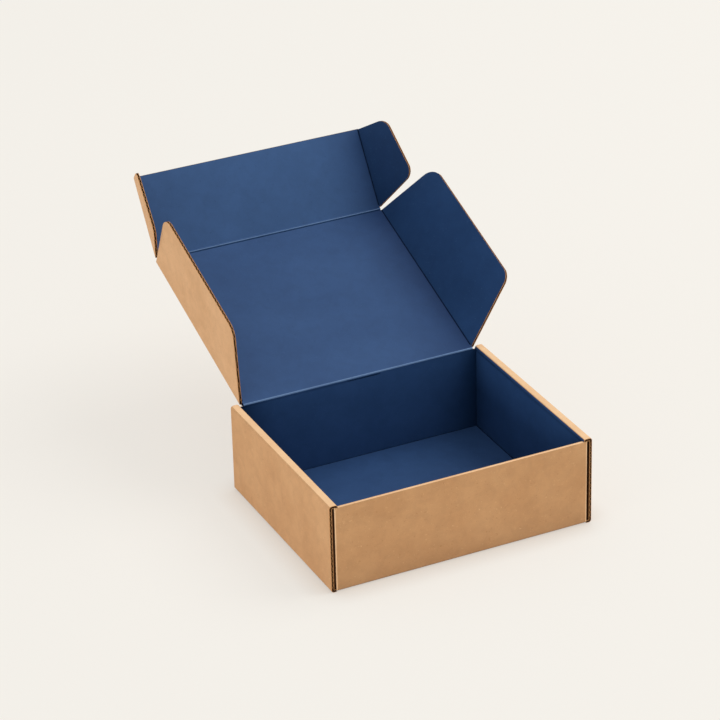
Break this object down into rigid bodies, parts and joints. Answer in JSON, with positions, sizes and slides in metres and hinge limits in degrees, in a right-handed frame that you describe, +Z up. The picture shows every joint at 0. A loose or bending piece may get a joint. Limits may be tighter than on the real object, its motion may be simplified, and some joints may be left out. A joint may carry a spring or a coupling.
{
  "type": "corrugated mailer box",
  "caption": "Corrugated cardboard mailer box, shown open: rolled side walls locked into the base, hinged lid with side ears, and a tuck flap with ears.",
  "frame": {"origin": "centre of the base's underside, on the surface it stands on", "axes": "+X to the right seen from the front, +Y to the back where the lid is hinged, +Z up"},
  "size_m": [0.3392, 0.5136, 0.2712],
  "materials": {
    "board": "kraft liner outside, matt blue print inside, brown fluted medium at the cut edges"
  },
  "bodies": {
    "tray": {"tray": "board"},
    "lid_panel": {"lid_panel": "board"},
    "lid_ear_right": {"lid_ear_right": "board"},
    "lid_ear_left": {"lid_ear_left": "board"},
    "front_tuck": {"front_tuck": "board"},
    "tuck_ear_right": {"tuck_ear_right": "board"},
    "tuck_ear_left": {"tuck_ear_left": "board"}
  },
  "joints": [
    {"name": "lid_crease", "type": "hinge", "parent": "tray", "child": "lid_panel", "pos_m": [0, 0.1185, 0.0985], "axis": [1, 0, 0], "range_deg": [-36.1, 90]},
    {"name": "tuck_crease", "type": "hinge", "parent": "lid_panel", "child": "front_tuck", "pos_m": [0, 0.33915, 0.17491], "axis": [1, 0, 0], "range_deg": [-36.6, 8]},
    {"name": "lid_ear_right_crease", "type": "hinge", "parent": "lid_panel", "child": "lid_ear_right", "pos_m": [0.1379, 0.1185, 0.0985], "axis": [0, -0.9449, -0.3272], "range_deg": [-52.6, 37.4]},
    {"name": "lid_ear_left_crease", "type": "hinge", "parent": "lid_panel", "child": "lid_ear_left", "pos_m": [-0.1379, 0.1185, 0.0985], "axis": [0, 0.9449, 0.3272], "range_deg": [-87.7, 2.3]},
    {"name": "tuck_ear_right_crease", "type": "hinge", "parent": "front_tuck", "child": "tuck_ear_right", "pos_m": [0.1369, 0.33915, 0.17491], "axis": [0, 0.5635, 0.8261], "range_deg": [-30, 60]},
    {"name": "tuck_ear_left_crease", "type": "hinge", "parent": "front_tuck", "child": "tuck_ear_left", "pos_m": [-0.1369, 0.33915, 0.17491], "axis": [0, -0.5635, -0.8261], "range_deg": [-13.5, 76.5]}
  ]
}
